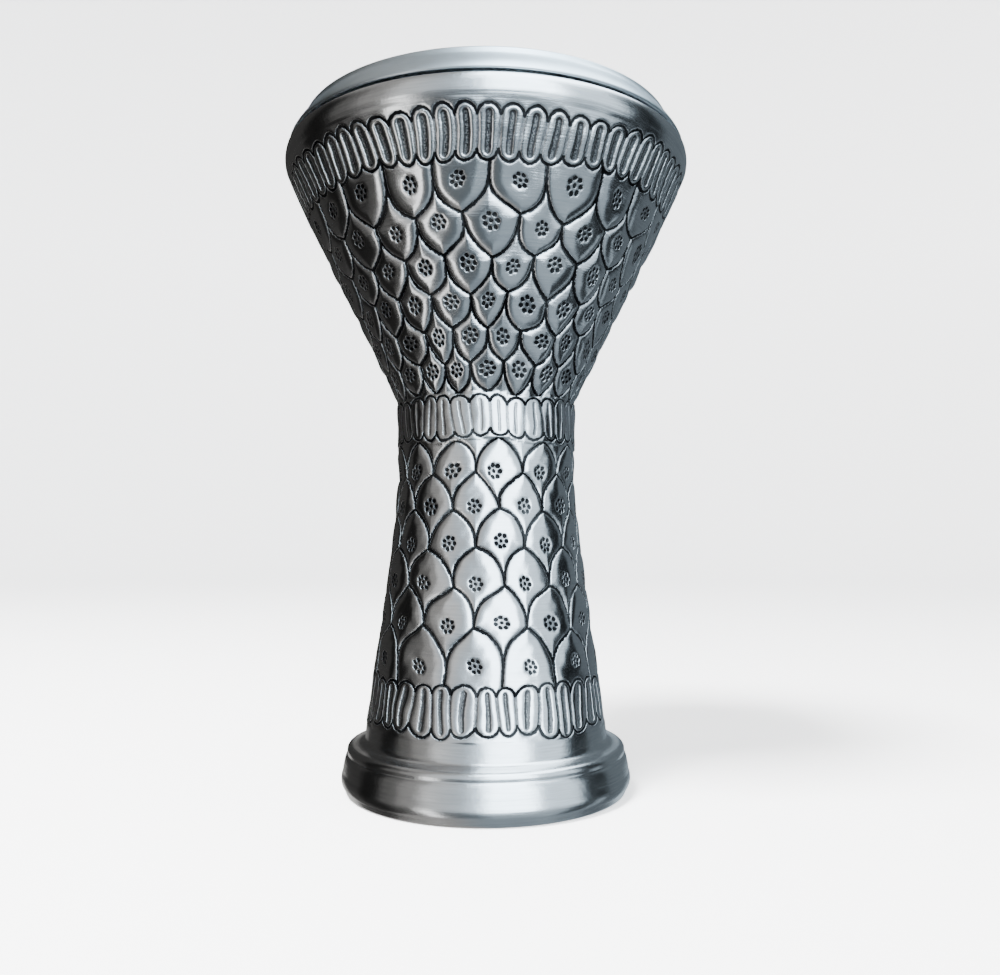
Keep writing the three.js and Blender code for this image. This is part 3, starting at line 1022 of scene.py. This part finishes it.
def film_material():
    """Frosted polyester film that lets a little light in, greyed where fingers strike it."""
    paint = Paint("frosted_film")
    position = paint.coordinate("Object")
    radius = distance_from_axis(paint, position)
    fibre = paint.noise(position, 520, 5)
    cloud = paint.noise(position, 30, 4)
    handled = paint.fade(radius + cloud * 40, 112, 60) * 0.5
    colour = paint.mix(paint.fade(cloud, 0.3, 0.7), FILM_DULL, FILM_BRIGHT)
    colour = paint.mix(handled * fibre, colour, FILM_HANDLED)
    worn = paint.mix(edge_wear(paint) * 0.3, colour, FILM_WORN)
    paint.set(base_color=worn, roughness=fibre * 0.2 + 0.32)
    paint.set(subsurface_weight=0.25, subsurface_scale=0.002)
    paint.shader.inputs["Specular IOR Level"].default_value = 0.35
    paint.set(normal=paint.bump(fibre, 0.00012, 0.35))
    return paint.material


# ---- assembly ----


def dress(piece, body, stands_for, material):
    """Gives a piece its material and its place in the frame."""
    piece.data.materials.append(material)
    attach(piece, body)
    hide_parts(stands_for)


dress(make_shell(), "shell", "shell", shell_material())
ring_metal = turned_metal("satin_aluminium", (0.68, 0.725, 0.75), (0.55, 0.605, 0.64), 0.24, 420)
dress(make_ring(), "ring", "tuning_ring", ring_metal)
hoop_metal = turned_metal("rolled_aluminium", (0.72, 0.72, 0.73), (0.62, 0.62, 0.63), 0.28, 300)
dress(make_hoop(), "ring", "head_hoop", hoop_metal)
dress(make_film(), "shell", "drumhead_film", film_material())

bolt_metal = turned_metal("zinc_plated_steel", (0.62, 0.62, 0.64), (0.48, 0.49, 0.52), 0.22, 900)
washer_metal = turned_metal("washer_steel", (0.55, 0.55, 0.56), (0.42, 0.42, 0.44), 0.30, 900)
for number in range(1, SCREWS + 1):
    bolt_name, washer_name = f"tuning_bolt_{number}", f"bolt_washer_{number}"
    place = axis_of(bolt_name)
    bolt = make_bolt(place).build(f"{bolt_name}_visual", crease=40)
    dress(bolt, f"bolt_{number}", bolt_name, bolt_metal)
    washer = make_washer(place).build(f"{washer_name}_visual", crease=30)
    dress(washer, "ring", washer_name, washer_metal)

# ---- studio ----

# The room that the metal mirrors, in three levels. Each pair is an azimuth, in degrees from the
# viewer's side towards +X, and the brightness from there to the next.
WALL = (
    (-180, 0.8), (-170, 0.05), (-112, 0.01), (-88, 0.14), (-70, 0.36), (-50, 0.95),
    (-14, 1.8), (0, 10.0), (40, 1.9), (78, 0.02), (108, 0.20), (170, 0.8),
)
FLOOR = (
    (-180, 0.4), (-165, 1.0), (-145, 0.08), (-116, 0.02), (-80, 0.10), (-52, 3.2), (-40, 0.20),
    (2, 0.68), (70, 0.04), (97, 0.8), (106, 0.10), (118, 0.20), (145, 1.0), (165, 0.4),
)
SKY = ((-180, 0.4), (-60, 0.6), (-10, 12.0), (70, 8.0), (140, 0.8))
FLOOR_TOP, SKY_BOTTOM = -12, 48  # elevations, in degrees, where the levels meet
UNDER_TOP, UNDER_BRIGHTNESS = -52, 0.45  # the even part below the floor's level
PANEL_BLUR, LEVEL_BLUR = 7, 12
DAYLIGHT, BLUE_DAYLIGHT = (1.0, 0.985, 0.96), (0.71, 0.87, 1.0)
BLUE_AZIMUTHS = (-60, 0)
PAPER_DULL, PAPER_BRIGHT, PAPER_GLOW = (0.86, 0.86, 0.865), (0.90, 0.90, 0.905), 1.2


def paper_material():
    """White paper with a faint grain, bright enough to read as a lit studio sweep."""
    paint = Paint("paper")
    grain = paint.noise(paint.coordinate("Object"), 40, 6)
    colour = paint.mix(grain, PAPER_DULL, PAPER_BRIGHT)
    paint.set(base_color=colour, roughness=grain * 0.1 + 0.7)
    paint.set(emission_color=(1, 1, 1, 1), emission_strength=PAPER_GLOW)
    paint.set(normal=paint.bump(grain, 0.0005, 0.03))
    return paint.material


def make_backdrop():
    """A round pale floor that sweeps up into a wall on every side."""
    columns, bend_steps = 96, 12
    reach, bend, wall_top = 5000, 1800, 5200  # millimetres
    sweep = arc_points((reach - bend, bend), bend, bend, -90, 0, bend_steps)
    profile = np.concatenate([[[0, 0], [600, 0], [1600, 0]], sweep, [[reach, wall_top]]])
    turns = np.arange(columns) / columns * TURN
    points = [(r * math.sin(t) * MM, -r * math.cos(t) * MM, z * MM) for r, z in profile for t in turns]
    faces = []
    for row in range(len(profile) - 1):
        for column in range(columns):
            following = (column + 1) % columns
            here, above = row * columns, (row + 1) * columns
            faces.append((here + column, here + following, above + following, above + column))
    mesh = bpy.data.meshes.new("backdrop")
    mesh.from_pydata(points, [], faces)
    merge_close(mesh)
    mesh.shade_smooth()
    backdrop = add_object("backdrop", mesh)
    mesh.materials.append(paper_material())
    backdrop.visible_glossy = False


def make_world():
    """A dark room with soft panels, so that the polished metal shows bright and dark bands."""
    world = bpy.data.worlds.new("studio")
    world.use_nodes = True
    graph = Graph(world.node_tree)
    x, y, z = graph.split(graph.coordinate("Generated"))
    azimuth = WireMaths.angle(x, y * -1) * math.degrees(1)
    elevation = z.math("ARCSINE") * math.degrees(1)

    def rising_at(value, limit, blur):
        return graph.fade(value, limit - blur / 2, limit + blur / 2)

    def round_the_room(steps):
        brightness = steps[0][1]
        for (_, before), (start, level) in zip(steps, steps[1:]):
            brightness = rising_at(azimuth, start, PANEL_BLUR) * (level - before) + brightness
        return brightness

    above_floor = rising_at(elevation, FLOOR_TOP, LEVEL_BLUR)
    in_sky = rising_at(elevation, SKY_BOTTOM, LEVEL_BLUR)
    floor, wall, sky = (round_the_room(steps) for steps in (FLOOR, WALL, SKY))
    above_under = rising_at(elevation, UNDER_TOP, LEVEL_BLUR)
    brightness = (floor - UNDER_BRIGHTNESS) * above_under + UNDER_BRIGHTNESS
    brightness = brightness + (wall - floor) * above_floor + (sky - wall) * in_sky
    cool = graph.fade(azimuth, *BLUE_AZIMUTHS)
    background = world.node_tree.nodes["Background"]
    plug(world.node_tree, background.inputs["Color"], graph.mix(cool, DAYLIGHT, BLUE_DAYLIGHT))
    plug(world.node_tree, background.inputs["Strength"], brightness)
    bpy.context.scene.world = world
    world.cycles_visibility.diffuse = False


def make_overhead_light():
    """Lights the paper evenly and gives the drum its soft shadow, behind it and to the right."""
    light = bpy.data.lights.new("overhead", "AREA")
    light.size = 0.7
    light.energy = 420
    lamp = add_object("overhead", light)
    lamp.location = (-0.9, -0.9, 2.3)
    lamp.rotation_euler = (math.radians(20), math.radians(-20), 0)
    lamp.visible_camera = False
    lamp.visible_glossy = False


make_backdrop()
make_world()
make_overhead_light()

camera_data = bpy.data.cameras.new("camera")
camera = add_object("camera", camera_data)
camera_data.sensor_width = 36
camera_data.lens = 33.24
camera_data.clip_start = 0.01
camera.location = (0.0093, -0.6252, 0.1652)
camera.rotation_euler = (math.radians(93.10), 0, 0)
bpy.context.scene.camera = camera
